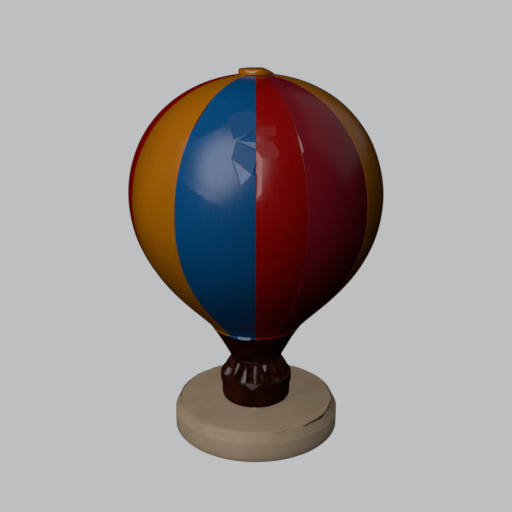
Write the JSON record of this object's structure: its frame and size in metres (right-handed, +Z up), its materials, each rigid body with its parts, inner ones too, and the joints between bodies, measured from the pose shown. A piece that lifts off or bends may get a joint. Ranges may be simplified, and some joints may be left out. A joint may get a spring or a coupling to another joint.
{
  "type": "hot air balloon ornament",
  "caption": "Desk ornament of a hot air balloon: a striped gored envelope on a skirt, a ring of leaning posts and a round basket, on a round stepped stone plinth.",
  "frame": {"origin": "centre of the plinth's underside", "axes": "+Z up; -Y is the front, where the blue gore and the narrow red gore meet"},
  "size_m": [0.1995, 0.1995, 0.2982],
  "materials": {
    "orange": "gloss enamel over cast resin",
    "blue": "gloss enamel over cast resin",
    "red": "gloss enamel over cast resin",
    "maroon": "gloss enamel over cast resin",
    "brown": "gloss lacquer over cast resin",
    "stone": "honed cast stone"
  },
  "bodies": {
    "root": {"plinth_base": "stone", "plinth_top_disc": "stone", "basket_tub": "brown", "basket_rim": "brown", "post_01": "brown", "post_02": "brown", "post_03": "brown", "post_04": "brown", "post_05": "brown", "post_06": "brown", "post_07": "brown", "post_08": "brown", "post_09": "brown", "post_10": "brown", "post_11": "brown", "post_12": "brown", "post_13": "brown", "post_14": "brown", "post_15": "brown", "post_16": "brown", "load_ring": "brown", "skirt": "brown", "gore_01_red": "red", "gore_02_maroon": "maroon", "gore_03_orange": "orange", "gore_04_blue": "blue", "gore_05_red": "red", "gore_06_maroon": "maroon", "gore_07_orange": "orange", "gore_08_blue": "blue", "gore_09_red": "red", "gore_10_orange": "orange", "gore_11_blue": "blue", "crown_cap": "orange"}
  },
  "joints": []
}
